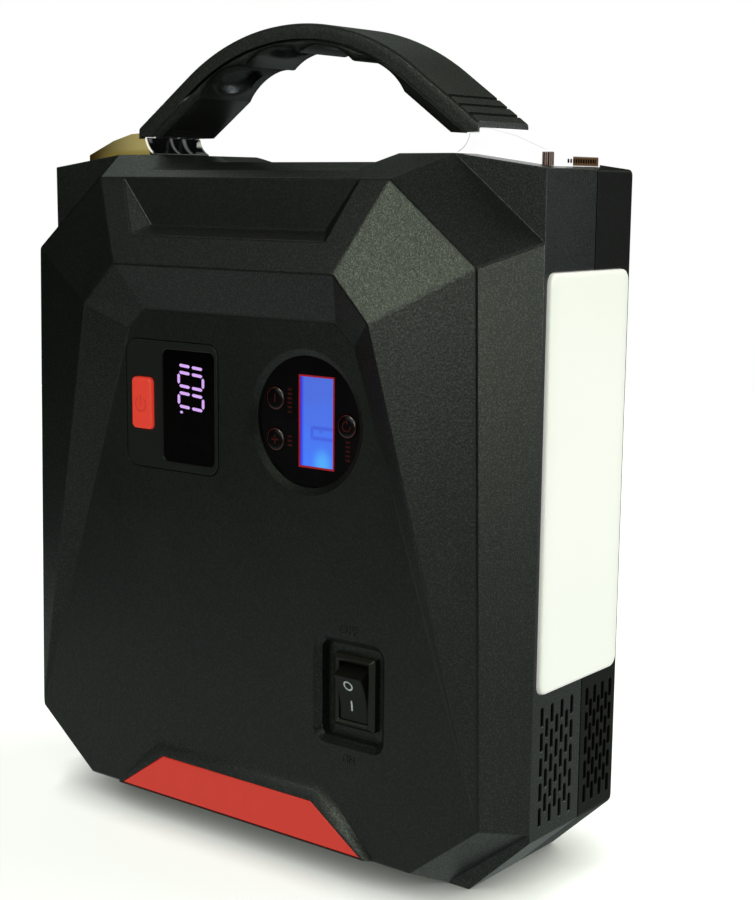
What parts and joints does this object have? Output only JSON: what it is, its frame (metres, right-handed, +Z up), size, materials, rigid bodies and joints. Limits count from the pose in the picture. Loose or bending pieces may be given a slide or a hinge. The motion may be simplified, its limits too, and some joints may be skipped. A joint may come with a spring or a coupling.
{
  "type": "jump starter pack",
  "caption": "Upright battery pack with carry handle, tyre inflator panel, rocker switch, side lamp, warning light and ports.",
  "frame": {"origin": "on the flat underside, midway across the width and midway between the front ridge and the back", "axes": "+X to the right seen from the front, +Y to the back, +Z up"},
  "size_m": [0.1854, 0.075, 0.238],
  "materials": {
    "housing": "fine-grained charcoal moulded plastic",
    "grip": "soft-touch, finely textured",
    "chrome": "mirror plated",
    "screw_steel": "zinc plated",
    "panel_black": "satin",
    "red_button": "satin moulded",
    "window": "smoked, polished",
    "digits": "lit segments",
    "white_plastic": "plain",
    "circuit_board": "solder mask",
    "dark_component": "plain",
    "gauge_black": "piano black",
    "lcd_frame": "printed border",
    "lcd": "backlit liquid crystal",
    "key_black": "domed, polished",
    "switch_black": "moulded",
    "brass": "machined",
    "light_red": "translucent lens",
    "led": "phosphor",
    "lamp_diffuser": "milky diffuser",
    "reflector_white": "white",
    "aluminium": "as machined",
    "cell_wrap": "shrink-wrapped can",
    "nickel": "nickel strip",
    "motor_steel": "plated can",
    "gear_steel": "sintered",
    "hose_rubber": "plain",
    "socket_blue": "moulded"
  },
  "bodies": {
    "housing": {"front_shell": "housing", "rear_shell": "housing", "shell_screws": "screw_steel", "handle_grip": "grip", "handle_block_left": "chrome", "handle_block_right": "chrome", "handle_screws": "screw_steel", "power_panel": "panel_black", "display_window": "window", "display_digits": "digits", "display_module": "white_plastic", "display_board": "circuit_board", "power_switch": "dark_component", "gauge_face": "gauge_black", "lcd_frame": "lcd_frame", "lcd_screen": "lcd", "gauge_board": "circuit_board", "key_switches": "dark_component", "board_screws": "screw_steel", "switch_housing": "switch_black", "switch_terminals": "brass", "warning_lens": "light_red", "warning_board": "circuit_board", "warning_leds": "led", "lamp_lens": "lamp_diffuser", "lamp_reflector": "reflector_white", "lamp_board": "aluminium", "lamp_leds": "led", "battery_cells": "cell_wrap", "battery_lower_holder": "dark_component", "battery_upper_holder": "dark_component", "battery_busbars": "nickel", "protection_board": "circuit_board", "pump_motor": "motor_steel", "pump_frame": "aluminium", "pump_cylinder": "aluminium", "cylinder_head": "aluminium", "outlet_hose": "hose_rubber", "air_outlet": "brass", "port_plate": "panel_black", "jump_socket": "socket_blue", "jump_contacts": "brass", "usb_sockets": "screw_steel", "usb_tongues": "white_plastic", "charge_jack": "panel_black", "port_board": "circuit_board", "start_relay": "dark_component"},
    "power_button": {"power_button": "red_button"},
    "minus_key": {"minus_key": "key_black"},
    "plus_key": {"plus_key": "key_black"},
    "mode_key": {"mode_key": "key_black"},
    "rocker": {"switch_rocker": "switch_black"},
    "motor_rotor": {"motor_shaft": "screw_steel", "motor_pinion": "brass", "cooling_fan": "dark_component"},
    "crank": {"crank_gear": "gear_steel"},
    "piston": {"piston_rod": "aluminium"}
  },
  "joints": [
    {"name": "power_button_press", "type": "slide", "parent": "housing", "child": "power_button", "axis": [0, 1, 0], "range_m": [0, 0.001], "stiffness_N_per_m": 700},
    {"name": "minus_key_press", "type": "slide", "parent": "housing", "child": "minus_key", "axis": [0, 1, 0], "range_m": [0, 0.0005], "stiffness_N_per_m": 900},
    {"name": "plus_key_press", "type": "slide", "parent": "housing", "child": "plus_key", "axis": [0, 1, 0], "range_m": [0, 0.0005], "stiffness_N_per_m": 900},
    {"name": "mode_key_press", "type": "slide", "parent": "housing", "child": "mode_key", "axis": [0, 1, 0], "range_m": [0, 0.0005], "stiffness_N_per_m": 900},
    {"name": "rocker_tilt", "type": "hinge", "parent": "housing", "child": "rocker", "pos_m": [0.0416, -0.02184, 0.054], "axis": [1, 0, 0], "range_deg": [-28, 0]},
    {"name": "crank_turn", "type": "hinge", "parent": "housing", "child": "crank", "pos_m": [0.0116, 0.01395, 0.05175], "axis": [1, 0, 0], "continuous": true},
    {"name": "motor_spin", "type": "hinge", "parent": "housing", "child": "motor_rotor", "pos_m": [0.045, 0.01395, 0.03], "axis": [1, 0, 0], "continuous": true},
    {"name": "piston_stroke", "type": "slide", "parent": "housing", "child": "piston", "axis": [0, 0, 1], "range_m": [0, 0.012]}
  ],
  "couplings": [
    {"joint": "motor_spin", "follows": "crank_turn", "ratio": -3}
  ]
}
